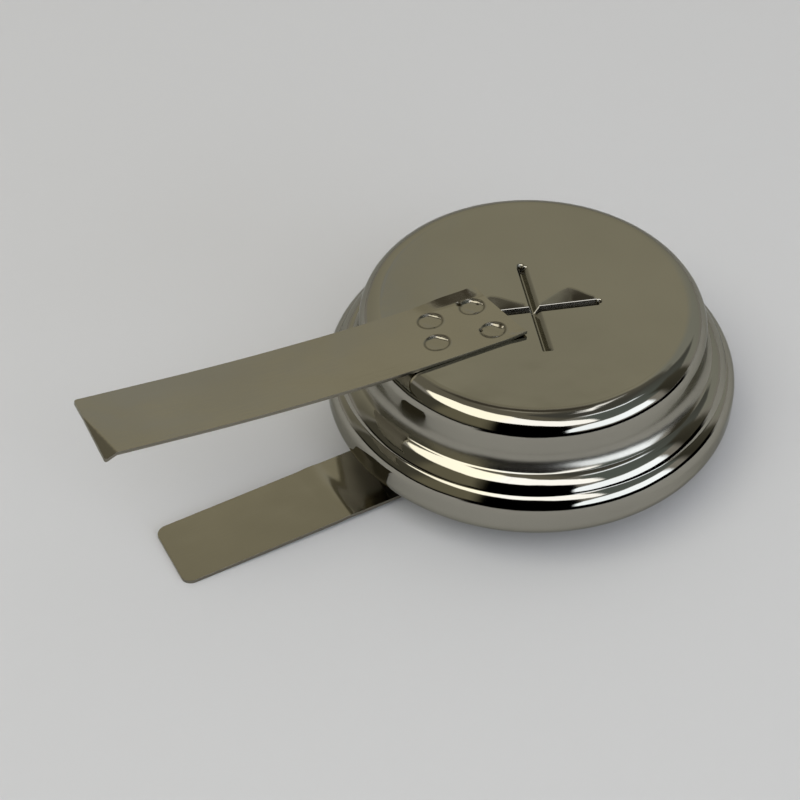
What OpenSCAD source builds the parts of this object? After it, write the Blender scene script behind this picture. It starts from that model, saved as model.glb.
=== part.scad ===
// Tabbed NiMH button cell: a drawn cup crimped over a lid, with a nickel strip
// welded to each pole. Millimetres. +Z is up, the origin is on the cell's axis
// at the lid's outer face, and both strips run out towards -X.

/* [Cup] */
// Height from the lid's outer face to the cup's base, without the strips
cell_h = 6; // [5.6:0.1:7.4]
// Diameter over the flange
flange_d = 15.5; // [14.5:0.1:18]
// How far the flange's rim stands out beyond its upper step
rim_w = 0.3; // [0.2:0.02:0.5]
// Width of the upper step, from the neck out to its edge
ledge_w = 0.94; // [0.7:0.01:1.4]
// Width of the edge that is crimped in under the flange
lip_w = 1.45; // [1.2:0.05:1.8]
// Height of the flange, from the crimp's underside to its upper step
flange_h = 2.62; // [2.3:0.02:3]
// How far the rim of the flange lies below its upper step
rim_drop = 0.44; // [0.3:0.02:0.7]
// Thickness of the cup's sheet
cup_wall = 0.3; // [0.2:0.02:0.4]
// Outer radius where the base turns into the neck
shoulder_round = 0.9; // [0.6:0.01:1.1]
// Outer radius of the flange's upper step; the round may start inside the neck
step_round = 1.05; // [0.8:0.01:1.3]
// Outer radius of the flange's rim
rim_round = 0.73; // [0.5:0.01:0.9]
// Outer radius of the crimped edge
crimp_round = 0.8; // [0.6:0.05:0.9]

/* [Plus mark] */
// Length of each groove of the plus mark
mark_span = 4.85; // [3:0.05:6]
// Width of the grooves at the face
mark_w = 0.36; // [0.2:0.02:0.6]
// Width of the grooves at their floor
mark_floor_w = 0.14; // [0.06:0.02:0.18]
// Depth of the grooves
mark_depth = 0.14; // [0.06:0.02:0.18]
// Turn of the plus mark about the cell's axis
mark_turn = -16.5; // [-90:0.5:90]
// Place of the mark's centre along X
mark_x = -0.09; // [-1:0.01:1]
// Place of the mark's centre along Y
mark_y = -0.38; // [-1:0.01:1]

/* [Lid] */
// Thickness of the lid's sheet
lid_wall = 0.25; // [0.15:0.01:0.35]
// How far the lid stands out below the crimp
lid_proud = 1.3; // [0.9:0.05:1.6]
// Outer radius of the pan's edge
lid_round = 0.7; // [0.4:0.05:0.8]
// Inside radius where the pan turns out into its held edge
fold_round = 0.15; // [0.1:0.01:0.25]

/* [Sealing ring] */
// Height of plastic between the crimp and the lid's held edge
seal_foot = 0.35; // [0.25:0.01:0.5]
// Thickness of plastic between the flange and the lid's held edge
seal_side = 0.5; // [0.35:0.01:0.6]
// Width of plastic that shows between the crimp and the pan
seal_show = 0.5; // [0.35:0.01:0.6]
// How far the ring's collar lies inside the crimp's underside
seal_recess = 0.1; // [0:0.01:0.2]
// How far the ring's bore stands back from the inside of the neck
seal_setback = 0.1; // [0.05:0.01:0.3]
// Clearance round the sealing ring
seal_gap = 0.03; // [0.02:0.01:0.06]

/* [Electrodes] */
// Thickness of the positive tablet
positive_h = 2.2; // [1.6:0.1:2.6]
// Thickness of the separator
separator_h = 0.25; // [0.15:0.05:0.4]
// Thickness of the nickel gauze
gauze_h = 0.12; // [0.08:0.02:0.2]
// Height of the gauze cups' walls
gauze_side_h = 1.2; // [0.6:0.1:1.5]
// Spacing of the gauze's strands
gauze_pitch = 1.2; // [0.9:0.1:2]
// Width of a strand
gauze_strand = 0.35; // [0.2:0.05:0.5]
// Clearance between a tablet and its gauze
tablet_gap = 0.02; // [0.02:0.01:0.05]
// Clearance between the stack and the walls round it
stack_gap = 0.05; // [0.04:0.01:0.1]

/* [Contact spring] */
// Height of the spring between the lid and the gauze
spring_h = 0.4; // [0.3:0.05:0.6]
// Thickness of the spring's sheet
spring_t = 0.1; // [0.06:0.01:0.15]
// Width of the spring's ring
spring_ring_w = 1.5; // [1:0.1:2]
// How far the spring's ring lies inside the lid's flat
spring_inset = 0.3; // [0.1:0.05:0.6]
// Width of each of the spring's tongues
tongue_w = 0.9; // [0.6:0.1:1.4]
// Length of the flat pad at each tongue's end
tongue_pad = 0.7; // [0.4:0.1:1]
// Number of tongues
tongues = 3; // [3:1:4]

/* [Strips] */
// Width of both strips
strip_w = 3; // [2.4:0.1:5]
// Thickness of both strips
strip_t = 0.15; // [0.1:0.01:0.25]
// Distance from the axis to the strips' welded ends
strip_root = 1.38; // [0.8:0.02:2.2]
// Angle that the positive strip's welded end is off square
root_skew = 10.9; // [0:0.1:20]
// Reach of the positive strip from the axis
positive_reach = 17.5; // [13:0.5:24]
// Distance from the axis at which the positive strip starts to bow away
bow_start = 3; // [2.8:0.1:5]
// Radius of the positive strip's bow
bow_r = 101; // [60:1:200]
// Length of the straight end of the positive strip
end_land = 3; // [1:0.5:5]
// Reach of the negative strip from the axis
negative_reach = 15.05; // [10:0.05:24]
// Angle at which the negative strip leaves the lid
droop = 4.1; // [0:0.1:10]
// Radius of the negative strip's bend
droop_r = 8; // [3:0.5:20]
// Radius of the negative strip's free corners
corner_r = 0.4; // [0.1:0.05:1]
// Radius of the positive strip's free corners
cut_corner_r = 0.1; // [0.05:0.01:1]

/* [Weld dots] */
// Diameter of a weld dot
dot_d = 0.95; // [0.6:0.05:1.2]
// Depth of a weld dot
dot_depth = 0.05; // [0.02:0.01:0.08]
// Spacing of the dots along the strip
dot_pitch_x = 1.95; // [1.3:0.05:2.4]
// Spacing of the dots across the strip
dot_pitch_y = 1.25; // [1:0.05:1.4]
// Distance from the axis to the middle of the dots
dot_centre = 3.2; // [2.9:0.05:3.6]

/* [Hidden] */

turn_steps = 72;   // steps round a full turn
arc_steps = 32;    // steps round the small arcs of a section

// Radii
flange_r = flange_d / 2;
step_r = flange_r - rim_w;
neck_r = step_r - ledge_w;
lip_r = flange_r - lip_w;                         // inner edge of the crimped lip
lid_r = lip_r - seal_show;                        // outside of the lid's pan
lid_edge_r = flange_r - cup_wall - seal_side;     // outer edge of the lid's held edge
seal_bore_r = neck_r - cup_wall + seal_setback;
positive_gauze_r = neck_r - shoulder_round;       // keeps to the flat inside of the base
positive_r = positive_gauze_r - gauze_h - tablet_gap;
separator_r = neck_r - cup_wall - stack_gap;
negative_gauze_r = lid_r - lid_wall - stack_gap;
negative_r = negative_gauze_r - gauze_h - tablet_gap;
spring_r = lid_r - lid_round - spring_inset;
dot_sphere_r = (pow(dot_d / 2, 2) + pow(dot_depth, 2)) / (2 * dot_depth);

// Levels, from the lid's outer face
crimp_z = lid_proud;
mid_z = crimp_z + crimp_round;                    // where the crimp's curve meets the flange's wall
step_z = crimp_z + flange_h;
rim_z = step_z - rim_drop;
lid_edge_z = crimp_z + cup_wall + seal_foot;      // underside of the lid's held edge
seal_top_z = step_z - cup_wall - seal_gap;
spring_z = lid_wall;
negative_gauze_z = spring_z + spring_h;
negative_z = negative_gauze_z + gauze_h;
positive_gauze_z = cell_h - cup_wall - gauze_h;
positive_z = positive_gauze_z - positive_h;
separator_z = positive_z - separator_h;
negative_h = separator_z - negative_z;            // the negative tablet fills what is left

// Half section, from the axis out to r, with a rounded upper outer corner
module round_top(r, z0, z1, round_r) {
    translate([0, z0]) square([r - round_r, z1 - z0]);
    translate([0, z0]) square([r, z1 - round_r - z0]);
    translate([r - round_r, z1 - round_r]) circle(round_r, $fn = arc_steps);
}

// Half section, from the axis out to r, with a rounded lower outer corner
module round_foot(r, z0, z1, round_r) {
    mirror([0, 1]) round_top(r, -z1, -z0, round_r);
}

// Everything inside the cup's outer surface, taken in by the distance d
module cup_space(d) {
    round_top(neck_r - d, mid_z, cell_h - d, shoulder_round - d);
    round_top(step_r - d, mid_z, step_z - d, step_round - d);
    round_top(flange_r - d, mid_z, rim_z - d, rim_round - d);
    round_foot(flange_r - d, crimp_z + d, rim_z - rim_round, crimp_round - d);
}

// Everything above the lid's outer surface out to edge_r, taken in by the distance d
module lid_space(d, edge_r) {
    round_foot(lid_r - d, d, step_z, lid_round - d);
    translate([0, lid_edge_z + d]) square([edge_r, step_z - lid_edge_z - d]);
    difference() {
        translate([lid_r - d, lid_edge_z - fold_round]) square(fold_round + d);
        translate([lid_r + fold_round, lid_edge_z - fold_round]) circle(fold_round + d, $fn = arc_steps);
    }
}

// One groove of the plus mark, along X and centred on the origin
module groove() {
    rotate([90, 0, 90])
        linear_extrude(mark_span, center = true)
            polygon([[-mark_w / 2, mark_depth], [-mark_w / 2, 0], [-mark_floor_w / 2, -mark_depth],
                     [mark_floor_w / 2, -mark_depth], [mark_w / 2, 0], [mark_w / 2, mark_depth]]);
}

module plus_mark() {
    translate([mark_x, mark_y, cell_h])
        rotate(mark_turn)
            for (turn = [0, 90]) rotate(turn) groove();
}

module cup() {
    color("gray")
        difference() {
            rotate_extrude($fn = turn_steps)
                difference() {
                    cup_space(0);
                    cup_space(cup_wall);
                    translate([0, crimp_z - cup_wall]) square([lip_r, 3 * cup_wall]);
                }
            plus_mark();
        }
}

module lid() {
    color("silver")
        rotate_extrude($fn = turn_steps)
            intersection() {
                difference() {
                    lid_space(0, lid_edge_r);
                    lid_space(lid_wall, flange_r);
                }
                square([lid_edge_r, lid_edge_z + lid_wall]);
            }
}

// The ring grips the lid's held edge from below, outside and above
module sealing_ring() {
    color("dimgray")
        rotate_extrude($fn = turn_steps) {
            difference() {
                union() {
                    cup_space(cup_wall + seal_gap);
                    translate([0, crimp_z + seal_recess]) square([lip_r - seal_gap, seal_foot + cup_wall]);
                }
                lid_space(-seal_gap, lid_edge_r + seal_gap);
                translate([0, seal_top_z]) square([flange_r, cell_h]);
            }
            intersection() {
                cup_space(cup_wall + seal_gap);
                difference() {
                    translate([seal_bore_r, lid_edge_z + lid_wall + seal_gap]) square([flange_r, flange_h]);
                    translate([0, seal_top_z]) square([2 * flange_r, flange_h]);
                }
            }
        }
}

// Section of one spring tongue: x runs inwards from the ring, y is up.
// The pad stops one tongue's width short of the axis.
module tongue_section() {
    ramp = spring_r - spring_ring_w - tongue_pad - tongue_w;
    polygon([[-spring_ring_w / 2, 0], [-spring_ring_w / 2, spring_t], [0, spring_t],
             [ramp, spring_h], [ramp + tongue_pad, spring_h], [ramp + tongue_pad, spring_h - spring_t],
             [ramp, spring_h - spring_t], [0, 0]]);
}

module contact_spring() {
    color("lightgray")
        translate([0, 0, spring_z]) {
            difference() {
                cylinder(spring_t, r = spring_r, $fn = turn_steps);
                translate([0, 0, -spring_t])
                    cylinder(3 * spring_t, r = spring_r - spring_ring_w, $fn = turn_steps);
            }
            for (i = [0 : tongues - 1])
                rotate(i * 360 / tongues)
                    translate([spring_r - spring_ring_w, 0, 0])
                        mirror([1, 0, 0])
                            rotate([90, 0, 0])
                                linear_extrude(tongue_w, center = true) tongue_section();
        }
}

// Gauze cup with its floor at z = 0 and its wall above it
module gauze_cup(r) {
    strands = ceil(r / gauze_pitch);
    linear_extrude(gauze_h)
        intersection() {
            circle(r, $fn = turn_steps);
            for (turn = [0, 90], i = [-strands : strands])
                rotate(turn)
                    translate([-r, i * gauze_pitch - gauze_strand / 2]) square([2 * r, gauze_strand]);
        }
    rotate_extrude($fn = turn_steps)
        translate([r - gauze_h, 0]) square([gauze_h, gauze_side_h]);
}

module negative_gauze() {
    color("slategray") translate([0, 0, negative_gauze_z]) gauze_cup(negative_gauze_r);
}

module negative_electrode() {
    color("darkslategray")
        translate([0, 0, negative_z]) cylinder(negative_h, r = negative_r, $fn = turn_steps);
}

module separator() {
    color("ivory") translate([0, 0, separator_z]) cylinder(separator_h, r = separator_r, $fn = turn_steps);
}

module positive_electrode() {
    color("darkgreen") translate([0, 0, positive_z]) cylinder(positive_h, r = positive_r, $fn = turn_steps);
}

module positive_gauze() {
    color("slategray")
        translate([0, 0, positive_gauze_z + gauze_h]) mirror([0, 0, 1]) gauze_cup(positive_gauze_r);
}

// Side view of a strip: x runs out from the axis, y away from the welded face.
// It lies flat to flat_x, turns away on an arc of bend_r through bend_a, then runs straight.
module strip_side(flat_x, bend_r, bend_a, reach) {
    bend_x = flat_x + bend_r * sin(bend_a);
    bend_y = bend_r * (1 - cos(bend_a));
    run = (reach - bend_x) / cos(bend_a) + 2 * strip_t;
    square([flat_x, strip_t]);
    intersection() {
        translate([flat_x, bend_r])
            difference() {
                circle(bend_r, $fn = 360);
                circle(bend_r - strip_t, $fn = 360);
            }
        polygon([[flat_x, bend_r], [flat_x, -strip_t],
                 [flat_x + 2 * bend_r * tan(bend_a / 2), -strip_t],
                 [flat_x + 2 * bend_r * sin(bend_a), bend_r - 2 * bend_r * cos(bend_a)]]);
    }
    translate([bend_x, bend_y]) rotate(bend_a) square([run, strip_t]);
}

// Plan of a strip, with its welded end cut at the angle skew and rounded free corners
module strip_plan(reach, skew, free_r) {
    difference() {
        union() {
            translate([0, -strip_w / 2]) square([reach - free_r, strip_w]);
            translate([0, free_r - strip_w / 2]) square([reach, strip_w - 2 * free_r]);
            for (side = [-1, 1])
                translate([reach - free_r, side * (strip_w / 2 - free_r)]) circle(free_r, $fn = arc_steps);
        }
        translate([strip_root, 0]) rotate(-skew) translate([-2 * strip_w, -strip_w]) square(2 * strip_w);
    }
}

module weld_dots() {
    for (sx = [-1, 1], sy = [-1, 1])
        translate([dot_centre + sx * dot_pitch_x / 2, sy * dot_pitch_y / 2,
                   strip_t - dot_depth + dot_sphere_r])
            sphere(dot_sphere_r, $fn = turn_steps);
}

// A strip on the +X side, lying on z = 0
module strip(flat_x, bend_r, bend_a, reach, skew, free_r) {
    difference() {
        intersection() {
            rotate([90, 0, 0])
                linear_extrude(2 * strip_w, center = true) strip_side(flat_x, bend_r, bend_a, reach);
            translate([0, 0, -strip_t])
                linear_extrude(cell_h) strip_plan(reach, skew, free_r);
        }
        weld_dots();
    }
}

module positive_tab() {
    bow_a = asin((positive_reach - end_land - bow_start) / bow_r);
    color("darkgray")
        translate([0, 0, cell_h])
            mirror([1, 0, 0]) strip(bow_start, bow_r, bow_a, positive_reach, root_skew, cut_corner_r);
}

module negative_tab() {
    color("darkgray")
        rotate([0, 180, 0]) strip(lid_r - lid_round, droop_r, droop, negative_reach, 0, corner_r);
}

cup();
lid();
sealing_ring();
contact_spring();
negative_electrode();
negative_gauze();
separator();
positive_electrode();
positive_gauze();
positive_tab();
negative_tab();
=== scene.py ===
"""Looks of the tabbed NiMH button cell, over its CAD frame.

Shapes are in millimetres; a bump's depth, a texture's scale and the camera's clip go by metres, as Blender does.
The row frame: origin on the cell's axis at the lid's outer face, +Z towards the cup's base with the plus mark, both
strips running out along -X. In the strips' own axes x is the distance from the cell's axis and y is the frame's.
"""

import math

import bpy
from mathutils import Matrix, Vector, geometry


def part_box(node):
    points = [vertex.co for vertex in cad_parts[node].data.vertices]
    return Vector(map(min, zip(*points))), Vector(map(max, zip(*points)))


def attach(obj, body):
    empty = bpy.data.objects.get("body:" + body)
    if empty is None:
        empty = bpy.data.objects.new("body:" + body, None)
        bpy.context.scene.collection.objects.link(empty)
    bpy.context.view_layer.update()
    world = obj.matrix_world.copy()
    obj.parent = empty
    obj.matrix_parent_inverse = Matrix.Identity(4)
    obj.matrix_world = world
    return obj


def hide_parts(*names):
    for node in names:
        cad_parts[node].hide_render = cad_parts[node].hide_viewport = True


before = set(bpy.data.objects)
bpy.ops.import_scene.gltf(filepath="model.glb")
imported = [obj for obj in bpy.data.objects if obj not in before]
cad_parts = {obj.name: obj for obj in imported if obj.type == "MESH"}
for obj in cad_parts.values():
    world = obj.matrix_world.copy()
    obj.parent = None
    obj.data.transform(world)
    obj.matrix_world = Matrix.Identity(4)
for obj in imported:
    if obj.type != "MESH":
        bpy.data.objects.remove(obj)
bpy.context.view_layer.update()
scene = bpy.context.scene
MM = 0.001


# ---------------------------------------------------------------- sizes
def mm_box(node_name):
    low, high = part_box(node_name)
    return low / MM, high / MM


cup_low, cup_high = mm_box("cup")
lid_high = mm_box("lid")[1]
upper_low, upper_high = mm_box("positive_tab")
lower_low = mm_box("negative_tab")[0]

# read from the CAD frame
FACE_Z, CRIMP_Z = cup_high.z, cup_low.z
FLANGE_R, LID_EDGE_R = cup_high.x, lid_high.x
UPPER_REACH, LOWER_REACH = -upper_low.x, -lower_low.x
STRIP_W = upper_high.y - upper_low.y

# the same as in the part's source
STRIP_T, WALL, LID_WALL = 0.15, 0.3, 0.25
RIM_W, LEDGE_W, LIP_W, SEAL_SHOW, FLANGE_H = 0.3, 0.94, 1.45, 0.5, 2.62
STEP_R = FLANGE_R - RIM_W
NECK_R = STEP_R - LEDGE_W
LIP_R = FLANGE_R - LIP_W
STEP_Z = CRIMP_Z + FLANGE_H
SHOULDER, STEP_ROUND, CRIMP_ROUND = 0.9, 1.05, 0.8
LID_R, LID_ROUND = LIP_R - SEAL_SHOW, 0.7
LID_EDGE_Z, LID_FOLD = 1.95, 0.15

# set from the photo after the CAD rounds
RIM_ROUND = 0.9
RIM_MID_Z = CRIMP_Z + 1.243                              # level at which the rim is widest
FLARE, FLARE_TURN, ROOT = 0.95, math.radians(44), 0.22   # the neck flares out, then turns tighter into the step

TURN = 320                          # steps round the can
GUARD, SHORT_GUARD = 0.06, 0.05     # a point so far from a rounding keeps its shading off the straight wall
FLAT_RINGS = (0.12, 0.04)           # rings on the face, so far inside the shoulder; the fine grid joins the first
LIP_EDGE = 0.03                     # rounding of the crimped lip's edge
AXIS_R = 0.05                       # a section starts or ends so far from the axis


# ---------------------------------------------------------------- mesh helpers
def smooth(x, low, high):
    t = min(max((x - low) / (high - low), 0.0), 1.0)
    return t * t * (3 - 2 * t)


def bell(x, centre, half):
    t = abs(x - centre) / half
    return (1 - t * t) ** 2 if t < 1 else 0.0


def make_object(name, verts, faces, sharp_deg=38.0, wear_and_shade=None):
    """The last argument gives some points how dull their metal is and how much shade is painted on it, each from 0 to
    1.
    """
    mesh = bpy.data.meshes.new(name)
    mesh.from_pydata([Vector(v) * MM for v in verts], [], faces)
    if wear_and_shade is not None:
        layer = mesh.color_attributes.new("wear_and_shade", "FLOAT_COLOR", "POINT")
        for i, item in enumerate(layer.data):
            item.color = (*wear_and_shade.get(i, (0.0, 0.0)), 0.0, 1.0)
    mesh.validate()
    mesh.update()
    for polygon in mesh.polygons:
        polygon.use_smooth = True
    obj = bpy.data.objects.new(name, mesh)
    scene.collection.objects.link(obj)
    bpy.context.view_layer.update()
    mesh.set_sharp_from_angle(angle=math.radians(sharp_deg))
    return obj


def arc(centre, r, start_deg, end_deg, steps):
    """Points of an arc in a half section, anticlockwise from +r where the angle grows."""
    angles = (math.radians(start_deg + (end_deg - start_deg) * i / steps) for i in range(steps + 1))
    return [(centre[0] + r * math.cos(a), centre[1] + r * math.sin(a)) for a in angles]


def bearing_deg(centre, point):
    return math.degrees(math.atan2(point[1] - centre[1], point[0] - centre[0]))


def meet(c0, r0, c1, r1):
    """The outer crossing point of two circles in a half section."""
    dx, dz = c1[0] - c0[0], c1[1] - c0[1]
    d = math.hypot(dx, dz)
    a = (r0 * r0 - r1 * r1 + d * d) / (2 * d)
    h = math.sqrt(max(r0 * r0 - a * a, 0))
    px, pz = c0[0] + a * dx / d, c0[1] + a * dz / d
    points = [(px + s * h * dz / d, pz - s * h * dx / d) for s in (-1, 1)]
    return max(points, key=lambda p: p[0] + p[1])


def without_doubles(points, gap=1e-4):
    out = [points[0]]
    for p in points[1:]:
        if math.hypot(p[0] - out[-1][0], p[1] - out[-1][1]) > gap:
            out.append(p)
    return out


def lathe(section, steps, verts, faces, flip=False):
    """Turns a half section about Z; adds to verts and faces and returns the first index of each ring."""
    first = []
    for r, z in section:
        first.append(len(verts))
        for i in range(steps):
            a = 2 * math.pi * i / steps
            verts.append((r * math.cos(a), r * math.sin(a), z))
    for a, b in zip(first, first[1:]):
        for i in range(steps):
            j = (i + 1) % steps
            quad = (a + i, b + i, b + j, a + j)
            faces.append(quad[::-1] if flip else quad)
    return first


# ---------------------------------------------------------------- plus mark as a height field on the cup's face
# the mark's own axes: a runs to the right of the view, b away from it
MARK_X, MARK_Y, MARK_TURN = -0.09, -0.38, math.radians(-16.5)
MARK_COS, MARK_SIN = math.cos(MARK_TURN), math.sin(MARK_TURN)
MARK_HALF = 2.85                    # half side of the fine grid round the mark
MARK_DEPTH = 0.235
ARM_NEAR, ARM_FAR, ARM_SIDE = 2.30, 2.42, 2.36
ARM_END = (0.07, 0.02)              # a groove runs out from so far before its end to so far past it
# a groove's section: start of its first flank, the floor's two edges, end of its second flank
LONG_ARM = (-0.25, -0.13, -0.09, 0.17)
CROSS_ARM = (-0.17, -0.07, 0.015, 0.18)
EDGE_ROUND = 0.025
# the deep points at the ends of two arms: place, radius, depth
NICKS = ((-0.1, ARM_FAR + 0.02, 0.15, 0.12), (ARM_SIDE + 0.03, 0.03, 0.13, 0.12))
NICK_FLOOR = 0.2                    # share of a nick's radius that is flat

# the flats pressed in beyond the cross arm, one on each side of the long arm
PRESS_SLOPE = 0.16
PRESS_MID, PRESS_START = -0.08, 0.2           # a of the line between them, b of their near edge
PRESS_SIDES = (0.3, 2.35)                     # nearest and farthest place from the line between them
PRESS_RISE, PRESS_FALL = (0.0, 1.55), (1.45, 2.5)
PRESS_REACH, PRESS_BULGE = 0.3, 0.68          # how far from the cross arm a flat reaches, and how much more at most

# dullness of the pressed metal, and painted shade that darkens its grooves, nicks and flats
DULL_SHADE_DEPTH = 0.05                             # a groove is fully dull and shaded from this depth on
# the long arm's dullness and painted shade, with more painted shade over one side of it, between these places across
# it
LONG_DULL, LONG_GROOVE_SHADE, LONG_SHADE, LONG_SHADED = 0.3, 0.15, 0.2, (-0.12, 0.02)
CROSS_DULL, CROSS_GROOVE_SHADE = 0.35, 0.58
NICK_DULL, NICK_SHADE = (0.02, 0.08), (0.03, 0.09)     # depths between which a nick's dullness and its painted shade grow
# painted shade on the pressed flats, and the depth at which it is full
PRESS_SHADE, PRESS_SHADE_DEPTH = 0.22, 0.03

# the fine grid: step between its lines, their digits, and where they lie closer (before an arm's end, past it, count)
GRID_STEP, GRID_DIGITS, END_LINES = 0.04, 5, (0.16, 0.2, 18)
MID_RINGS, MID_STEPS = (4.6, 5.1), 96         # points that keep the triangles between grid and shoulder regular
INNER_TRIANGLES, CDT_EPSILON = 1, 1e-7        # what the triangulation returns, and how near two points are one


def groove_depth(across, section, along, stop):
    """Depth of a groove at a place across its section and at a distance along it, which ends at stop."""
    low, floor_0, floor_1, high = section
    t = min((across - low) / (floor_0 - low), (high - across) / (high - floor_1), 1.0)
    round_part = EDGE_ROUND / (floor_0 - low if across < floor_0 else high - floor_1)
    if t < round_part:
        t = max(t + round_part, 0.0) ** 2 / (4 * round_part)
    return MARK_DEPTH * t * (1 - smooth(along, stop - ARM_END[0], stop + ARM_END[1]))


def nick_depth(a, b):
    """The deep point at the far end of the long arm and at the right end of the cross arm."""
    return max(depth * (1 - smooth(math.hypot(a - x, b - y), radius * NICK_FLOOR, radius))
               for x, y, radius, depth in NICKS)


def pressed_depth(a, b):
    """The shallow flats, one on each side of the long arm, that fall towards the cross arm."""
    side = abs(a - PRESS_MID)
    if b < PRESS_START or not PRESS_SIDES[0] < side < PRESS_SIDES[1]:
        return 0.0
    rise = smooth(side, *PRESS_RISE) * (1 - smooth(side, *PRESS_FALL))
    return PRESS_SLOPE * max(PRESS_REACH + PRESS_BULGE * rise - b, 0.0)


def face_depth(a, b):
    """How far the cup's face is pressed in at a point of the mark's own axes, how dull its metal is there, and how
    much shade is painted on it.
    """
    long_arm = groove_depth(a, LONG_ARM, abs(b - (ARM_FAR - ARM_NEAR) / 2), (ARM_FAR + ARM_NEAR) / 2)
    cross_arm = groove_depth(b, CROSS_ARM, abs(a), ARM_SIDE)
    nick, pressed = nick_depth(a, b), pressed_depth(a, b)
    if long_arm >= cross_arm:
        dull, painted_shade = LONG_DULL, LONG_GROOVE_SHADE + LONG_SHADE * smooth(a, *LONG_SHADED)
    else:
        dull, painted_shade = CROSS_DULL, CROSS_GROOVE_SHADE
    # deeper metal is duller and darker; the darkening is painted shade
    worn_and_shaded = smooth(max(long_arm, cross_arm), 0.0, DULL_SHADE_DEPTH)
    dull = max(dull * worn_and_shaded, smooth(nick, *NICK_DULL))
    painted_shade = max(painted_shade * worn_and_shaded, smooth(nick, *NICK_SHADE), PRESS_SHADE * smooth(pressed, 0.0, PRESS_SHADE_DEPTH))
    return max(long_arm, cross_arm, nick, pressed), (dull, painted_shade)


def mark_lines(section, stops):
    """Grid lines across a groove: dense on its rounded edges, on its flanks and where the other groove stops."""
    lines = set()

    def add(start, end, count):
        lines.update(round(start + (end - start) * i / count, GRID_DIGITS) for i in range(count + 1))

    low, floor_0, floor_1, high = section
    add(low - EDGE_ROUND, low + EDGE_ROUND, 6)
    add(low + EDGE_ROUND, floor_0, 3)
    add(floor_0, floor_1, 3)
    add(floor_1, high - EDGE_ROUND, 5)
    add(high - EDGE_ROUND, high + EDGE_ROUND, 6)
    for stop in stops:
        add(stop - END_LINES[0], stop + END_LINES[1], END_LINES[2])
    ends = [-MARK_HALF, *sorted(lines), MARK_HALF]
    for start, end in zip(ends, ends[1:]):
        add(start, end, max(int((end - start) / GRID_STEP), 1))
    return sorted(lines)


# ---------------------------------------------------------------- can and lid
ROOT_DULL, ROOT_WIDTH = 0.75, 0.2       # how dull, and how far inside the step's radius at least
ROOT_BAND = (-0.12, 0.12, 0.55, 0.95)   # levels over the step at which the dull band starts, is full, fades, ends


def neck_root(step_c):
    """Level at which the neck's flare starts, centre of its tighter root, and the angle where the step takes over."""
    inset, reach = FLARE - ROOT, STEP_ROUND + ROOT
    flare_x = NECK_R + FLARE
    meet_a = math.acos((flare_x - step_c[0] - inset * math.cos(FLARE_TURN)) / reach)
    flare_z = step_c[1] + reach * math.sin(meet_a) + inset * math.sin(FLARE_TURN)
    root_c = (flare_x - inset * math.cos(FLARE_TURN), flare_z - inset * math.sin(FLARE_TURN))
    return flare_z, root_c, math.degrees(meet_a)


def can_section():
    """Outer half section of the cup below its face, from the flat's edge down to the crimped lip, and back inside."""
    shoulder_r, shoulder_z = NECK_R - SHOULDER, FACE_Z - SHOULDER
    step_c = (STEP_R - STEP_ROUND, STEP_Z - STEP_ROUND)
    rim_c = (FLANGE_R - RIM_ROUND, RIM_MID_Z)
    edge = meet(step_c, STEP_ROUND, rim_c, RIM_ROUND)
    flare_z, root_c, meet_deg = neck_root(step_c)
    turn_deg = 180 + math.degrees(FLARE_TURN)
    s = [(shoulder_r - gap, FACE_Z) for gap in FLAT_RINGS]
    s += arc((shoulder_r, shoulder_z), SHOULDER, 90, 0, 36)
    s += [(NECK_R, shoulder_z - GUARD), (NECK_R, flare_z + SHORT_GUARD)]
    s += arc((NECK_R + FLARE, flare_z), FLARE, 180, turn_deg, 18)
    s += arc(root_c, ROOT, turn_deg, 180 + meet_deg, 10)
    s += arc(step_c, STEP_ROUND, meet_deg, bearing_deg(step_c, edge), 34)
    s += arc(rim_c, RIM_ROUND, bearing_deg(rim_c, edge), 0, 30)
    s += [(FLANGE_R, RIM_MID_Z - GUARD), (FLANGE_R, CRIMP_Z + CRIMP_ROUND + GUARD)]
    s += arc((FLANGE_R - CRIMP_ROUND, CRIMP_Z + CRIMP_ROUND), CRIMP_ROUND, 0, -90, 28)
    s += [(LIP_R + SHORT_GUARD, CRIMP_Z)]
    s += arc((LIP_R + LIP_EDGE, CRIMP_Z + LIP_EDGE), LIP_EDGE, -90, -180, 4)
    # the inside, out of sight, without its roundings
    s += [(LIP_R, CRIMP_Z + WALL - LIP_EDGE), (LIP_R + SHORT_GUARD, CRIMP_Z + WALL),
          (FLANGE_R - WALL, CRIMP_Z + 2 * WALL), (FLANGE_R - WALL, RIM_MID_Z), (STEP_R - 2 * WALL, STEP_Z - WALL),
          (NECK_R - WALL, STEP_Z - WALL), (NECK_R - WALL, shoulder_z), (shoulder_r, FACE_Z - WALL),
          (AXIS_R, FACE_Z - WALL)]
    return without_doubles(s)


def root_wear(r, z):
    """The neck is duller near its root, where the can was rolled in."""
    if r >= STEP_R - ROOT_WIDTH:
        return 0.0, 0.0
    start, full, fade, end = (STEP_Z + level for level in ROOT_BAND)
    return ROOT_DULL * smooth(z, start, full) * (1 - smooth(z, fade, end)), 0.0


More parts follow.
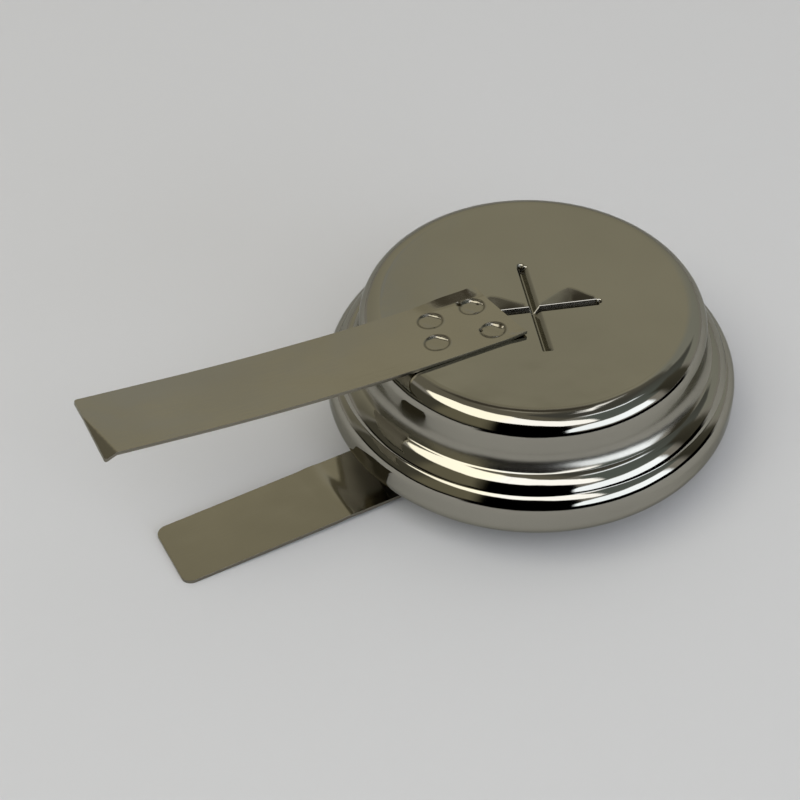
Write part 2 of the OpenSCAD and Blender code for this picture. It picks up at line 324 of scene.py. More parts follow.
def add_mark_grid(verts, faces, wear_and_shade):
    """Adds the fine grid that carries the mark and returns its outer loop, anticlockwise."""
    lines_a, lines_b = mark_lines(LONG_ARM, (-ARM_SIDE, ARM_SIDE)), mark_lines(CROSS_ARM, (-ARM_NEAR, ARM_FAR))
    n, rows, grid = len(lines_a), len(lines_b), len(verts)
    for b in lines_b:
        for a in lines_a:
            x, y = MARK_X + a * MARK_COS - b * MARK_SIN, MARK_Y + a * MARK_SIN + b * MARK_COS
            depth, wear_and_shade[len(verts)] = face_depth(a, b)
            verts.append((x, y, FACE_Z - depth))
    for j in range(rows - 1):
        for i in range(n - 1):
            k = grid + j * n + i
            faces.append((k, k + 1, k + n + 1, k + n))
    return ([grid + i for i in range(n)] + [grid + j * n + n - 1 for j in range(1, rows)]
            + [grid + (rows - 1) * n + i for i in range(n - 2, -1, -1)]
            + [grid + j * n for j in range(rows - 2, 0, -1)])


def within_grid(points):
    """Whether the middle of a triangle lies on the fine grid."""
    x, y = (sum(p[i] for p in points) / 3 - centre for i, centre in ((0, MARK_X), (1, MARK_Y)))
    return max(abs(x * MARK_COS + y * MARK_SIN), abs(y * MARK_COS - x * MARK_SIN)) < MARK_HALF


def fill_face(verts, faces, ring, loop):
    """Joins the fine grid's outer loop to the shoulder's first ring by a constrained triangulation."""
    mid = []
    for r in MID_RINGS:
        for i in range(MID_STEPS):
            a = 2 * math.pi * (i + 0.5) / MID_STEPS
            mid.append(len(verts))
            verts.append((r * math.cos(a), r * math.sin(a), FACE_Z))
    index = ring + loop + mid
    points = [Vector(verts[k][:2]) for k in index]
    nr, nl = len(ring), len(loop)
    edges = [(i, (i + 1) % nr) for i in range(nr)] + [(nr + i, nr + (i + 1) % nl) for i in range(nl)]
    result = geometry.delaunay_2d_cdt(points, edges, [], INNER_TRIANGLES, CDT_EPSILON)
    triangles, given = result[2], result[3]
    for triangle in triangles:
        ids = [given[v][0] for v in triangle]
        if all(nr <= k < nr + nl for k in ids) and within_grid([points[k] for k in ids]):
            continue
        a, b, c = (points[k] for k in ids)
        if (b - a).cross(c - a) < 0:
            ids.reverse()
        faces.append(tuple(index[k] for k in ids))


def make_can():
    verts, faces = [], []
    rings = lathe(can_section(), TURN, verts, faces, flip=True)
    wear_and_shade = {i: root_wear(math.hypot(v[0], v[1]), v[2]) for i, v in enumerate(verts)}
    faces.append(tuple(rings[-1] + i for i in range(TURN))[::-1])
    loop = add_mark_grid(verts, faces, wear_and_shade)
    fill_face(verts, faces, [rings[0] + i for i in range(TURN)], loop)
    return make_object("can_shell", verts, faces, wear_and_shade=wear_and_shade)


def make_lid():
    verts, faces = [], []
    s = [(AXIS_R, 0), (LID_R - LID_ROUND - 2 * SHORT_GUARD, 0)]
    s += arc((LID_R - LID_ROUND, LID_ROUND), LID_ROUND, -90, 0, 28)
    s += [(LID_R, LID_ROUND + GUARD), (LID_R, LID_EDGE_Z - LID_FOLD - SHORT_GUARD)]
    s += arc((LID_R + LID_FOLD, LID_EDGE_Z - LID_FOLD), LID_FOLD, 180, 90, 8)
    s += [(LID_EDGE_R, LID_EDGE_Z), (LID_EDGE_R, LID_EDGE_Z + LID_WALL), (LID_R - LID_WALL, LID_EDGE_Z + LID_WALL),
          (LID_R - LID_WALL, LID_ROUND), (LID_R - LID_ROUND, LID_WALL), (AXIS_R, LID_WALL)]
    rings = lathe(without_doubles(s), TURN, verts, faces)
    faces.append(tuple(rings[0] + i for i in range(TURN))[::-1])
    faces.append(tuple(rings[-1] + i for i in range(TURN)))
    return make_object("lid_pan", verts, faces)


# ---------------------------------------------------------------- solder strips
# the same as in the part's source
ROOT_X, ROOT_SKEW = 1.38, math.tan(math.radians(10.9))
BOW_START, BOW_R, END_LAND = 3.0, 101.0, 3.0
DROOP, DROOP_R = math.radians(4.1), 8.0
CUT_CORNER, ROUND_CORNER = 0.1, 0.4     # radii of the upper and of the lower strip's free corners

SKEW_END = 0.9                          # the sections turn square over so much of the strip's root
COLUMNS, CROWDING = 96, 1.15            # points across a strip, and how much closer they lie towards its edges
BEVEL, BURR = 0.007, 0.003              # roundings of the outer and of the inner long edges
CUT_DULL_AND_SHADE = (0.7, 0.45)                  # the slit long edges are duller than the rolled faces, and painted shade darkens them
STRIP_SHARP_DEG = 44                    # under the burr's 45 degrees, or its shading spreads over the faces

# prints of the welding pins: place along and across the strip, depth, lean of the print's floor
UPPER_DOTS = ((4.00, 0.60, 0.020, 0.04), (4.30, -0.56, 0.022, 0.04),
              (2.26, 0.62, 0.024, 0.10), (2.15, -0.84, 0.022, -0.06))
LOWER_DOTS = ((2.22, 0.62, 0.02, 0.0), (2.22, -0.62, 0.02, 0.0), (4.18, 0.62, 0.02, 0.0), (4.18, -0.62, 0.02, 0.0))
DOTS_END, LONG_END = 5.1, 0.9           # the sections lie close as far as this, and again from so far before a corner
DOTS_STEP, LONG_STEP, END_STEP, END_SECTIONS = 0.03, 0.1, 0.04, 12
END_REACH = 1.6                         # the last sections crowd along so many of the free corner's radii
DOT_RX, DOT_RY = 0.47, 0.385            # a print's half length and half width
DOT_RING = 0.07                         # relative width of the groove round it
DOT_FLOOR = 0.35                        # depth of its floor, as a share of the groove's
LEAN_EDGE = (0.7, 1.0)                  # the lean of the floor ends between these distances from its middle
PIN_SLANT = (-0.8, 0.6)                 # the pins stood aslant, so a print is deepest towards this side of it
SLANT_DEPTH, SLANT_FALL, SLANT_RISE, SLANT_EDGE = 3.1, (-0.6, 0.68), (0.69, 0.9), (0.88, 1.02)
RING_DULL_AND_SHADE, RING_SPREAD, RING_SPARED = 0.6, 1.3, 0.5     # dullness and painted shade in the groove round a print; the deepest side's groove gets half of them
# dullness and painted shade on a print's floor, more towards its deepest side, where the painted shade dims the glint
FLOOR_DULL_AND_SHADE, SLANT_DULL_AND_SHADE, SLANT_SHADED = 0.07, 0.28, (0.6, 0.75)
# small pits that the pins left: place, radius, depth
UPPER_PITS = ((2.55, -0.65, 0.10, 0.07), (1.97, 0.72, 0.09, 0.05), (2.62, 0.95, 0.16, 0.03), (1.78, -0.72, 0.12, 0.02))
PIT_FLOOR = 0.3                         # share of a pit's radius that is fully dull and shaded

# the upper strip's welded end is buckled: line where its far side starts to rise, rounding, slope, places along it
BUCKLE_Y, BUCKLE_ROUND, BUCKLE_SLOPE, BUCKLE_SPAN = 0.95, 0.17, 0.22, (1.6, 2.1, 2.9, 4.6)
# and its two corners are raised: height, middle and half length along the strip, side, places across it
RAISED_CORNERS = ((0.05, 1.55, 0.7, 1, (0.9, 1.5)), (0.08, 1.0, 0.9, -1, (1.1, 1.5)))
WAVE_HEIGHT, WAVE_X, WAVE_HALF, WAVE_ACROSS = 0.015, 6.8, 2.2, 1.6      # a soft wave where it leaves the face
CREASE_SKEW, CREASE_Y, CREASE_BEND = 0.21, 0.6, 0.55    # the near corner of the free end is bent along this crease
# painted shade on the corner bent past the crease: how dark at most, and how far past the crease that is reached
CREASE_SHADE, CREASE_SHADE_SPAN = 0.3, 0.03
KINK_HEIGHT, KINK_X, KINK_SKEW, KINK_HALF = 0.03, 8.5, 0.12, 0.55       # in the lower strip, just outside the can


def print_place(x, y, centre_x, centre_y):
    """A point's distance from a print's middle, 1 at the print's edge, and its share towards the deepest side."""
    u, v = (x - centre_x) / DOT_RX, (y - centre_y) / DOT_RY
    return math.hypot(u, v), u * PIN_SLANT[0] + v * PIN_SLANT[1]


def dot_depth(x, y, dots, pits):
    """A print is a shallow, slanting floor with a narrow, deeper groove round it."""
    total = 0.0
    for cx, cy, depth, lean in dots:
        r, aslant = print_place(x, y, cx, cy)
        if r < 1 + 3 * DOT_RING:
            floor_part = DOT_FLOOR * depth * (1 - smooth(r, 1 - DOT_RING, 1 + DOT_RING))
            ring_part = depth * math.exp(-((r - 1) / DOT_RING) ** 2)
            lean_part = lean * (x - cx) * (1 - smooth(r, *LEAN_EDGE))
            slant_part = (SLANT_DEPTH * depth * smooth(aslant, *SLANT_FALL) * (1 - smooth(aslant, *SLANT_RISE))
                          * (1 - smooth(r, *SLANT_EDGE)))
            total = max(total, floor_part + ring_part + lean_part + slant_part)
    for cx, cy, radius, depth in pits:
        total = max(total, depth * (1 - smooth(math.hypot(x - cx, y - cy), 0.0, radius)))
    return total


def dot_dull_and_shade(x, y, dots, pits):
    """The metal is dull and darkened by painted shade in the groove round a print and in a pit, and darkened by
    painted shade beyond the crease.
    """
    worn_and_shaded = 0.0
    for cx, cy, *_ in dots:
        r, aslant = print_place(x, y, cx, cy)
        slant_part = smooth(aslant, *SLANT_SHADED) if r < 1 else 0.0
        ring_part = RING_DULL_AND_SHADE * math.exp(-((r - 1) / (RING_SPREAD * DOT_RING)) ** 2) * (1 - RING_SPARED * slant_part)
        worn_and_shaded = max(worn_and_shaded, ring_part, FLOOR_DULL_AND_SHADE + SLANT_DULL_AND_SHADE * slant_part if r < 1 else 0.0)
    for cx, cy, radius, _ in pits:
        worn_and_shaded = max(worn_and_shaded, 1 - smooth(math.hypot(x - cx, y - cy), radius * PIT_FLOOR, radius))
    return worn_and_shaded, max(worn_and_shaded, CREASE_SHADE * smooth(past_crease(x, y), 0.0, CREASE_SHADE_SPAN))


def past_crease(x, y):
    """How far a point of the upper strip lies on the bent side of the crease across its near corner."""
    return max(x - UPPER_REACH + CREASE_SKEW * (CREASE_Y - y), 0.0)


def upper_lift(x, y):
    """The upper strip's root is a little buckled, and the near corner of its free end is bent down."""
    rise = max(y - BUCKLE_Y, 0.0)
    buckle = rise * rise / (2 * BUCKLE_ROUND) if rise < BUCKLE_ROUND else rise - BUCKLE_ROUND / 2
    start, full, fade, end = BUCKLE_SPAN
    lift = BUCKLE_SLOPE * buckle * smooth(x, start, full) * (1 - smooth(x, fade, end))
    for height, middle, half, side, across in RAISED_CORNERS:
        lift += height * bell(x, middle, half) * smooth(side * y, *across)
    lift += WAVE_HEIGHT * bell(x, WAVE_X, WAVE_HALF) * math.cos(WAVE_ACROSS * y)
    return lift - CREASE_BEND * past_crease(x, y)


def lower_lift(x, y):
    """The lower strip has a slight kink just outside the can."""
    return KINK_HEIGHT * bell(x, KINK_X + KINK_SKEW * y, KINK_HALF)


def strip_path(flat_x, bend_r, bend_a):
    """Inner face of a strip in its side view: flat, a bend, then straight; gives point and slope at a place x."""
    bend_x, bend_z = flat_x + bend_r * math.sin(bend_a), bend_r * (1 - math.cos(bend_a))

    def at(x):
        if x <= flat_x:
            return x, 0.0, 0.0
        if x <= bend_x:
            a = math.asin((x - flat_x) / bend_r)
            return x, bend_r * (1 - math.cos(a)), a
        return x, bend_z + (x - bend_x) * math.tan(bend_a), bend_a
    return at


def stations(reach, corner):
    """Places of the sections along a strip: close together over the prints and towards the rounded free end."""
    places, x = [], ROOT_X
    end = corner * END_REACH
    for limit, step in ((DOTS_END, DOTS_STEP), (reach - corner - LONG_END, LONG_STEP),
                        (reach - end - END_STEP / 2, END_STEP)):
        while x < limit:
            places.append(x)
            x += step
    return places + [reach - end * (1 - math.sin(i / END_SECTIONS * math.pi / 2)) for i in range(END_SECTIONS + 1)]


def section_loop(half):
    """One closed loop of a strip's section: outer face, edge, inner face, edge; y, height and whether it is cut."""
    spread = (-1 + 2 * k / COLUMNS for k in range(COLUMNS + 1))
    ys = [math.copysign(1 - (1 - abs(t)) ** CROWDING, t) * half for t in spread]
    edge_in, edge_down = BEVEL * 0.3, BEVEL * 0.05      # where the outer edge's rounding starts
    loop = [(y, STRIP_T, False) for y in ys[1:-1]]
    loop += [(ys[-1] - edge_in, STRIP_T - edge_down, False), (ys[-1], STRIP_T - BEVEL, True),
             (ys[-1], BURR, True), (ys[-1] - BURR, 0.0, True)]
    loop += [(y, 0.0, False) for y in reversed(ys[1:-1])]
    loop += [(ys[0] + BURR, 0.0, True), (ys[0], BURR, True), (ys[0], STRIP_T - BEVEL, True),
             (ys[0] + edge_in, STRIP_T - edge_down, False)]
    return loop


def skin(rows, side):
    """Faces round a strip's sections and over its two ends, looking outwards on either side."""
    count = len(rows[0])
    faces = []
    for a, b in zip(rows, rows[1:]):
        for i in range(count):
            j = (i + 1) % count
            faces.append((a[i], a[j], b[j], b[i])[::side])
    return faces + [tuple(rows[0])[::-side], tuple(rows[-1])[::side]]


def make_strip(name, side, path, reach, skew, corner, dots, pits, lift):
    """side is +1 for the strip on the cup's face, -1 for the one under the lid."""
    verts, wear_and_shade, rows = [], {}, []
    for x0 in stations(reach, corner):
        gap = reach - x0
        half = STRIP_W / 2 - (corner - math.sqrt(corner * corner - (corner - gap) ** 2) if gap < corner else 0.0)
        skew_here = (1 - smooth(x0, ROOT_X, ROOT_X + SKEW_END)) * skew
        row = []
        for y, height, cut in section_loop(half):
            x = x0 + skew_here * y
            if cut:
                wear_and_shade[len(verts)] = CUT_DULL_AND_SHADE
            elif height > STRIP_T / 2:
                height -= dot_depth(x, y, dots, pits)
                wear_and_shade[len(verts)] = dot_dull_and_shade(x, y, dots, pits)
            px, pz, a = path(x)
            px, pz = px - height * math.sin(a), pz + height * math.cos(a)
            row.append(len(verts))
            verts.append((-px, y, (FACE_Z + pz if side > 0 else -pz) + lift(x, y)))
        rows.append(row)
    return make_object(name, verts, skin(rows, side), STRIP_SHARP_DEG, wear_and_shade)


# ---------------------------------------------------------------- materials
FULL_SHADE = (0.08, 0.07, 0.05)        # what a spot keeps of the metal's colour under full painted shade
DULL = 0.28                         # what a fully dull spot adds to the roughness
EDGE_TINT = (0.55, 0.55, 0.52, 1)   # nickel mirrors less at a grazing angle than an ideal metal
CLOUD_SCALE, DENT_SCALE = 180.0, 420.0          # of the clouds in the colour and of the soft dents, per metre
METAL_SHADES, METAL_SPREAD = (0.94, 1.04), (0.3, 0.7)
POWDER_SHADES, POWDER_SPREAD = (0.8, 1.15), (0.35, 0.65)
MARK_RELIEF, GRAIN_RELIEF, GRAIN_BUMP, GRAIN_ROUGH = 0.00002, 0.00003, 0.4, 0.1


def node(tree, kind, **inputs):
    """Adds a node; an input is given by name, as a value or as the output that is linked to it."""
    made = tree.nodes.new(kind)
    for name, value in inputs.items():
        socket = made.inputs[name.replace("_", " ")]
        if isinstance(value, bpy.types.NodeSocket):
            tree.links.new(value, socket)
        else:
            socket.default_value = value
    return made


def new_material(name):
    material = bpy.data.materials.new(name)
    material.use_nodes = True
    return material, material.node_tree, material.node_tree.nodes["Principled BSDF"]


def noise(tree, place, scale, detail, rough):
    return node(tree, "ShaderNodeTexNoise", Vector=place, Scale=scale, Detail=detail, Roughness=rough).outputs["Fac"]


def two_tone(tree, factor, colour, shades, spread):
    """The colour between a darker and a lighter shade of itself, as the factor goes from spread[0] to spread[1]."""
    ramp = node(tree, "ShaderNodeValToRGB", Fac=factor)
    for element, position, shade in zip(ramp.color_ramp.elements, spread, shades):
        element.position = position
        element.color = (*[c * shade for c in colour], 1)
    return ramp.outputs["Color"]


def add_dull_and_shade(tree, colour, rough, shader):
    """Darkens the colour with painted shade and raises the roughness where the mesh says that its metal is dull."""
    wear_and_shade = node(tree, "ShaderNodeAttribute")
    wear_and_shade.attribute_name = "wear_and_shade"
    parts = node(tree, "ShaderNodeSeparateColor", Color=wear_and_shade.outputs["Color"])
    dark = node(tree, "ShaderNodeMix")
    dark.data_type, dark.blend_type = "RGBA", "MULTIPLY"
    factor, first, second = dark.inputs[0], dark.inputs[6], dark.inputs[7]
    second.default_value = (*FULL_SHADE, 1)
    tree.links.new(parts.outputs["Green"], factor)
    tree.links.new(colour, first)
    tree.links.new(dark.outputs[2], shader.inputs["Base Color"])
    total = node(tree, "ShaderNodeMath")
    total.operation = "MULTIPLY_ADD"
    total.inputs[1].default_value = DULL
    tree.links.new(parts.outputs["Red"], total.inputs[0])
    tree.links.new(rough, total.inputs[2])
    tree.links.new(total.outputs[0], shader.inputs["Roughness"])


def metal(name, colour, rough, stretch, bump, fine, dents):
    """Nickel: colour and roughness vary a little, with fine rolling or drawing marks and soft dents in the bump."""
    material, tree, shader = new_material(name)
    shader.inputs["Metallic"].default_value = 1.0
    shader.inputs["Specular Tint"].default_value = EDGE_TINT
    place = node(tree, "ShaderNodeTexCoord").outputs["Object"]
    drawn = node(tree, "ShaderNodeMapping", Vector=place, Scale=stretch).outputs["Vector"]
    cloud = noise(tree, place, CLOUD_SCALE, 3.0, 0.5)
    marks = noise(tree, drawn, fine, 5.0, 0.6)
    soft = noise(tree, place, DENT_SCALE, 1.5, 0.5)
    roughness = node(tree, "ShaderNodeMapRange", Value=marks, From_Min=METAL_SPREAD[0], From_Max=METAL_SPREAD[1],
                     To_Min=rough[0], To_Max=rough[1]).outputs["Result"]
    add_dull_and_shade(tree, two_tone(tree, cloud, colour, METAL_SHADES, METAL_SPREAD), roughness, shader)
    dented = node(tree, "ShaderNodeBump", Height=soft, Distance=dents).outputs["Normal"]
    marked = node(tree, "ShaderNodeBump", Height=marks, Strength=bump, Distance=MARK_RELIEF, Normal=dented)
    tree.links.new(marked.outputs["Normal"], shader.inputs["Normal"])
    return material


def powder(name, colour, rough, scale):
    """A matt material with a grain: moulded plastic, pressed powder or felt."""
    material, tree, shader = new_material(name)
    place = node(tree, "ShaderNodeTexCoord").outputs["Object"]
    grain = noise(tree, place, scale, 6.0, 0.65)
    tree.links.new(two_tone(tree, grain, colour, POWDER_SHADES, POWDER_SPREAD), shader.inputs["Base Color"])
    roughness = node(tree, "ShaderNodeMapRange", Value=grain, To_Min=rough - GRAIN_ROUGH, To_Max=rough + GRAIN_ROUGH)
    tree.links.new(roughness.outputs["Result"], shader.inputs["Roughness"])
    bumped = node(tree, "ShaderNodeBump", Height=grain, Strength=GRAIN_BUMP, Distance=GRAIN_RELIEF)
    tree.links.new(bumped.outputs["Normal"], shader.inputs["Normal"])
    return material


CAN_COLOUR, STRIP_COLOUR, EVEN = (0.36, 0.345, 0.295), (0.38, 0.355, 0.29), (1, 1, 1)
# a metal's colour, lowest and highest roughness, stretch of its fine marks, their bump and scale, its dents' depth
can_metal = metal("plated_can", CAN_COLOUR, (0.03, 0.06), EVEN, 0.03, 4000.0, 0.00005)
lid_metal = metal("plated_lid", CAN_COLOUR, (0.05, 0.09), EVEN, 0.05, 4000.0, 0.00005)
strip_metal = metal("strip_nickel", STRIP_COLOUR, (0.07, 0.12), (0.08, 1.2, 1.2), 0.1, 9000.0, 0.00004)
spring_metal = metal("spring_nickel", (0.6, 0.58, 0.52), (0.2, 0.3), EVEN, 0.2, 9000.0, 0.00001)
gauze_metal = metal("gauze_nickel", (0.5, 0.49, 0.45), (0.3, 0.45), EVEN, 0.6, 16000.0, 0.00001)
seal_plastic = powder("seal_plastic", (0.03, 0.03, 0.03), 0.55, 6000.0)
negative_mass = powder("negative_mass", (0.08, 0.08, 0.09), 0.8, 9000.0)
positive_mass = powder("positive_mass", (0.1, 0.13, 0.09), 0.8, 9000.0)
felt = powder("separator_felt", (0.85, 0.84, 0.8), 0.85, 7000.0)
KEPT_NODES = (("sealing_ring", seal_plastic), ("contact_spring", spring_metal), ("negative_electrode", negative_mass),
              ("negative_gauze", gauze_metal), ("separator", felt), ("positive_electrode", positive_mass),
              ("positive_gauze", gauze_metal))


# ---------------------------------------------------------------- the pieces
def paint(obj, material):
    obj.data.materials.clear()
    obj.data.materials.append(material)


def dress(obj, material, replaced):
    paint(obj, material)
    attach(obj, "root")
    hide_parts(replaced)


bow = math.asin((UPPER_REACH - END_LAND - BOW_START) / BOW_R)
upper_path, lower_path = strip_path(BOW_START, BOW_R, bow), strip_path(LID_R - LID_ROUND, DROOP_R, DROOP)
dress(make_can(), can_metal, "cup")
dress(make_lid(), lid_metal, "lid")
dress(make_strip("upper_strip", 1, upper_path, UPPER_REACH, ROOT_SKEW, CUT_CORNER, UPPER_DOTS, UPPER_PITS, upper_lift),
      strip_metal, "positive_tab")
dress(make_strip("lower_strip", -1, lower_path, LOWER_REACH, 0.0, ROUND_CORNER, LOWER_DOTS, (), lower_lift),
      strip_metal, "negative_tab")
for node_name, material in KEPT_NODES:
    paint(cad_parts[node_name], material)

# ---------------------------------------------------------------- floor and world
# the floor lies under the lid's far edge and the lower strip's end, so the cell leans as it does on a table
FLOOR_HALF, FLOOR_GAP = 600, 0.005
PAPER_COLOUR, PAPER_ROUGH, PAPER_SHINE = (0.68, 0.69, 0.70, 1), 0.9, 0.1
WORLD_COLOUR, WORLD_STRENGTH = (1.0, 0.97, 0.92, 1), 0.43

edge_x = LID_R - LID_ROUND
lean = math.atan2(-lower_low.z, edge_x + LOWER_REACH)
corners = [(x * FLOOR_HALF, y * FLOOR_HALF, 0) for x, y in ((-1, -1), (1, -1), (1, 1), (-1, 1))]
floor = make_object("floor", corners, [(0, 1, 2, 3)])
floor.matrix_world = (Matrix.Translation(Vector((edge_x, 0, -FLOOR_GAP)) * MM)
                      @ Matrix.Rotation(-lean, 4, "Y") @ Matrix.Translation(Vector((-edge_x, 0, 0)) * MM))
paper, _, paper_shader = new_material("paper")
paper_shader.inputs["Base Color"].default_value = PAPER_COLOUR
paper_shader.inputs["Roughness"].default_value = PAPER_ROUGH
paper_shader.inputs["Specular IOR Level"].default_value = PAPER_SHINE
floor.data.materials.append(paper)

world = bpy.data.worlds.new("studio")
world.use_nodes = True
world.node_tree.nodes["Background"].inputs["Color"].default_value = WORLD_COLOUR
world.node_tree.nodes["Background"].inputs["Strength"].default_value = WORLD_STRENGTH
scene.world = world
scene.view_settings.view_transform = "Standard"

# ---------------------------------------------------------------- studio cards
AWAY = Vector((0.443071, 0.896486, 0))       # level direction in which the camera looks
RIGHT = Vector((0.896486, -0.443071, 0))
CARD_STEP, CARD_COLUMNS, CARD_ROWS = 1.5, 8, 28     # degrees of azimuth a column, fewest columns, rows
TO_ZENITH, ALL_ROUND = 89, 359                      # a card past these has no high edge, or no sides
FLAG_FOOT = -1.0                                    # height at which a low flag starts, near the floor's


def direction(az, el):
    """Level azimuth from the camera's side of the cell, towards the right of the view, and elevation, in degrees."""
    a, e = math.radians(az), math.radians(el)
    return math.cos(e) * (math.sin(a) * RIGHT - math.cos(a) * AWAY) + Vector((0, 0, math.sin(e)))


def card_material():
    """Glows in the colour that the card's mesh carries, and fades out where its alpha falls."""
    material = bpy.data.materials.new("studio_card")
    material.use_nodes = True
    tree = material.node_tree
    tree.nodes.clear()
    tint = node(tree, "ShaderNodeAttribute")
    tint.attribute_name = "glow"
    glow = node(tree, "ShaderNodeEmission", Color=tint.outputs["Color"])
    mix = node(tree, "ShaderNodeMixShader", Fac=tint.outputs["Alpha"])
    tree.links.new(node(tree, "ShaderNodeBsdfTransparent").outputs[0], mix.inputs[1])
    tree.links.new(glow.outputs[0], mix.inputs[2])
    node(tree, "ShaderNodeOutputMaterial", Surface=mix.outputs[0])
    return material


card_glow = card_material()


def mix_columns(columns, az):
    """The card's low edge, high edge and colour at an azimuth, between the two given columns next to it."""
    for c, d in zip(columns, columns[1:]):
        if az <= d[0]:
            t = min(max((az - c[0]) / (d[0] - c[0]), 0.0), 1.0)
            return (c[1] + t * (d[1] - c[1]), c[2] + t * (d[2] - c[2]),
                    [p + t * (q - p) for p, q in zip(c[3], d[3])])
    return columns[-1][1:]


def card_fade(below, above, beside, soft):
    """How solid a card is at a point, from its distances to the low edge, the high edge and the nearest side."""
    fades = (smooth(gap, 0.0, width) for gap, width in zip((below, above, beside), soft) if gap is not None)
    return min(fades)


def card(name, columns, distance, soft, lights=False):
    """A curved card that the camera doesn't see. A column is its azimuth, its low and high elevation, its colour;
    soft says over how many degrees the card fades at its low edge, its high edge and its sides."""
    first, last = columns[0][0], columns[-1][0]
    n = max(int((last - first) / CARD_STEP), CARD_COLUMNS)
    verts, faces, glow = [], [], []
    for j in range(CARD_ROWS + 1):
        for i in range(n + 1):
            az = first + (last - first) * i / n
            low, high, colour = mix_columns(columns, az)
            el = low + (high - low) * j / CARD_ROWS
            above = high - el if high < TO_ZENITH else None
            beside = min(az - first, last - az) * math.cos(math.radians(el)) if last - first < ALL_ROUND else None
            verts.append(tuple(direction(az, el) * distance))
            glow.append((*colour, card_fade(el - low, above, beside, soft)))
    for j in range(CARD_ROWS):
        for i in range(n):
            k = j * (n + 1) + i
            faces.append((k, k + 1, k + n + 2, k + n + 1))
    obj = make_object(name, verts, faces)
    layer = obj.data.color_attributes.new("glow", "FLOAT_COLOR", "POINT")
    for item, colour in zip(layer.data, glow):
        item.color = colour
    obj.data.materials.append(card_glow)
    obj.visible_camera = False
    obj.visible_shadow = False
    obj.visible_diffuse = lights


def low_flag(name, start_az, end_az, distance, top, soft):
    """A low black strip round a part of the cell, close to it."""
    low, high = (math.degrees(math.atan2(level, distance)) for level in (FLAG_FOOT, top))
    card(name, ((start_az, low, high, BLACK), (end_az, low, high, BLACK)), distance, soft)


WARM, WHITE, COOL = (2.9, 2.82, 2.55), (2.75, 2.78, 2.95), (2.5, 2.7, 3.1)
BLACK, BROWN, OLIVE, DARK_OLIVE = (0.0, 0.0, 0.0), (0.27, 0.25, 0.175), (0.115, 0.11, 0.085), (0.05, 0.047, 0.036)
CEILING, DIM_CEILING, GAP, LAMP = (0.25, 0.235, 0.19), (0.12, 0.12, 0.11), (0.1, 0.09, 0.07), (0.6, 0.58, 0.5)
TEAL, HAZE, WALL_DUSK = (0.2, 0.235, 0.23), (0.44, 0.445, 0.42), (0.38, 0.36, 0.275)
WALL_WARM, WALL_LEFT, WALL_DIM = (0.48, 0.458, 0.362), (0.42, 0.4, 0.32), (0.2, 0.19, 0.15)
WALL_RIGHT = (0.41, 0.42, 0.38)

# the three that light the object, then what the metal mirrors round it
card("overhead_warm", ((-97, 56, 62, WARM), (-88, 50, 70, WARM), (-74, 43, 75, WARM), (-30, 43, 76, WARM),
                       (-16, 44, 73, WHITE), (0, 44, 70, WHITE)), 300, (2, 3, 3), True)
card("overhead_white", ((-16, 44, 73, WHITE), (6, 44, 68, WHITE), (20, 37, 64, WHITE), (32, 32, 57, WHITE),
                        (41, 31, 46, WHITE)), 298, (2, 3, 3), True)
card("window", ((19, 4, 15, COOL), (25, 4, 24, COOL), (33, 4, 28, COOL), (62, 4, 29, COOL), (74, 6, 27, COOL)),
     290, (3, 3, 3), True)
card("board_dark", ((-102, -5, 44, OLIVE), (-62, -5, 46, OLIVE), (-30, -6, 47, BLACK), (4, -6, 46, BLACK),
                    (28, -6, 40, BLACK)), 330, (1, 4, 5))
card("board_brown", ((-64, -2, 46, BROWN), (-22, -2, 48, BROWN)), 320, (12, 4, 9))
card("board_teal", ((34, 26, 62, TEAL), (60, 26, 62, TEAL), (128, 24, 62, DIM_CEILING)), 330, (5, 5, 5))
card("streak_low", ((42, 61, 67, COOL), (92, 49, 55, COOL)), 320, (3, 3, 6))
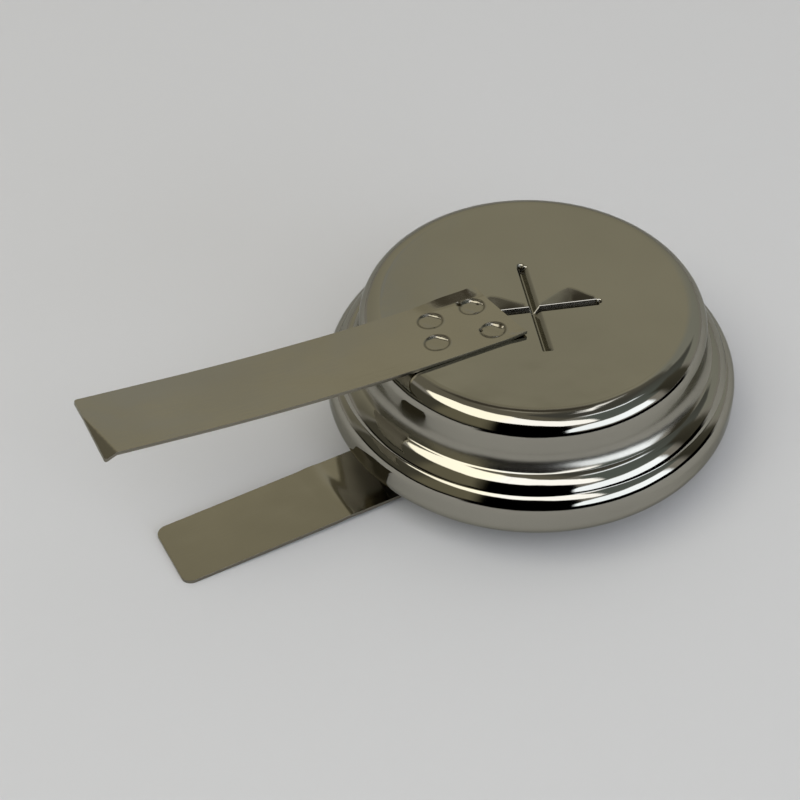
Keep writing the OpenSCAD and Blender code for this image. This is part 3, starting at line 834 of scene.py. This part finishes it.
card("streak_high", ((78, 72, 79, WHITE), (125, 69, 77, WHITE), (152, 58, 65, WHITE)), 310, (4, 4, 8))
card("flag_side", ((79, -4, 44, DARK_OLIVE), (108, -4, 44, OLIVE)), 280, (1, 8, 7))
card("ceiling", ((-180, 58, 90, CEILING), (-120, 50, 90, CEILING), (-90, 50, 90, CEILING), (20, 60, 90, CEILING),
                 (50, 64, 90, DIM_CEILING), (120, 46, 90, DIM_CEILING), (180, 58, 90, CEILING)), 340, (4, 4, 4))
card("ceiling_gap", ((140, 60, 72, GAP), (220, 60, 72, GAP)), 335, (3, 3, 9))
card("ceiling_lamp", ((140, 73, 79, LAMP), (220, 73, 79, LAMP)), 332, (2, 2, 9))
card("wall_behind", ((105, 5, 60, WALL_RIGHT), (145, 5, 60, WALL_RIGHT), (165, 5, 60, WALL_WARM),
                     (200, 5, 60, WALL_WARM), (232, 5, 60, WALL_LEFT), (262, 5, 60, WALL_DIM)), 350, (6, 6, 6))
card("haze_behind", ((180, 34, 47, HAZE), (200, 34, 47, HAZE)), 100, (8, 4, 8))
card("wall_high", ((165, 44, 62, WALL_DUSK), (215, 44, 62, WALL_DUSK)), 344, (7, 6, 8))
low_flag("flag_front", -34, 96, 30, 5.9, (4, 0.5, 8))
low_flag("flag_left", -100, -26, 60, 6.3, (3, 0.5, 16))

# ---------------------------------------------------------------- camera
CAMERA_PLACE, CAMERA_PITCH = Vector((-33.653, -56.902, 65.136)), math.radians(44.25)
CAMERA_LENS, CAMERA_SENSOR, CAMERA_CLIP = 107.32, 36.0, (0.005, 3.0)

camera_data = bpy.data.cameras.new("camera")
camera_data.sensor_width, camera_data.lens = CAMERA_SENSOR, CAMERA_LENS
camera_data.clip_start, camera_data.clip_end = CAMERA_CLIP
camera = bpy.data.objects.new("camera", camera_data)
scene.collection.objects.link(camera)
look = AWAY * math.cos(CAMERA_PITCH) - Vector((0, 0, math.sin(CAMERA_PITCH)))
camera.location = CAMERA_PLACE * MM
camera.rotation_mode = "QUATERNION"
camera.rotation_quaternion = look.to_track_quat("-Z", "Y")
scene.camera = camera
